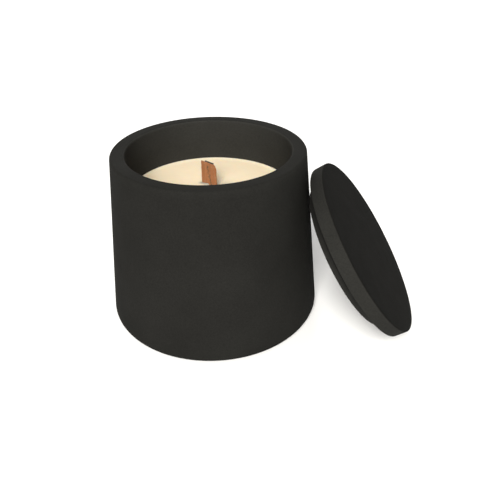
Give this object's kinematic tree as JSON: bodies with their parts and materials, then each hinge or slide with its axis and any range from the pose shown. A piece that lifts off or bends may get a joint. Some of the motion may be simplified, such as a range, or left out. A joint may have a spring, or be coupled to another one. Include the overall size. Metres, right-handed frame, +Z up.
{
  "type": "lidded candle",
  "caption": "Thick-walled flared round vessel of wax with a wooden wick, and its round plug lid leaning on the vessel's side.",
  "frame": {"origin": "centre of the vessel's foot, on the surface it stands on", "axes": "+Z up along the vessel's axis; the lid leans on the +X side, about 15 degrees towards -Y"},
  "size_m": [0.1493, 0.1132, 0.082],
  "materials": {
    "vessel_ceramic": "smooth matte charcoal",
    "lid_ceramic": "smooth matte charcoal, slightly powdery edge",
    "seal_rubber": "satin black silicone",
    "wax": "smooth creamy wax, slightly translucent",
    "wick_wood": "bare thin-cut reddish wood",
    "booster_wood": "dark thin-cut wood",
    "clip_steel": "tinned",
    "pad_foam": "white adhesive foam",
    "label_paper": "blank matte paper"
  },
  "bodies": {
    "vessel": {"jar_body": "vessel_ceramic", "base_label": "label_paper", "wax_fill": "wax", "wick_clip": "clip_steel", "wick_pad": "pad_foam", "wick_blade": "wick_wood", "wick_booster": "booster_wood"},
    "lid": {"lid_cap": "lid_ceramic", "lid_seal": "seal_rubber"}
  },
  "joints": [
    {"name": "lid_lift", "type": "slide", "parent": "vessel", "child": "lid", "axis": [0, 0, 1], "range_m": [0, 0.1]}
  ]
}
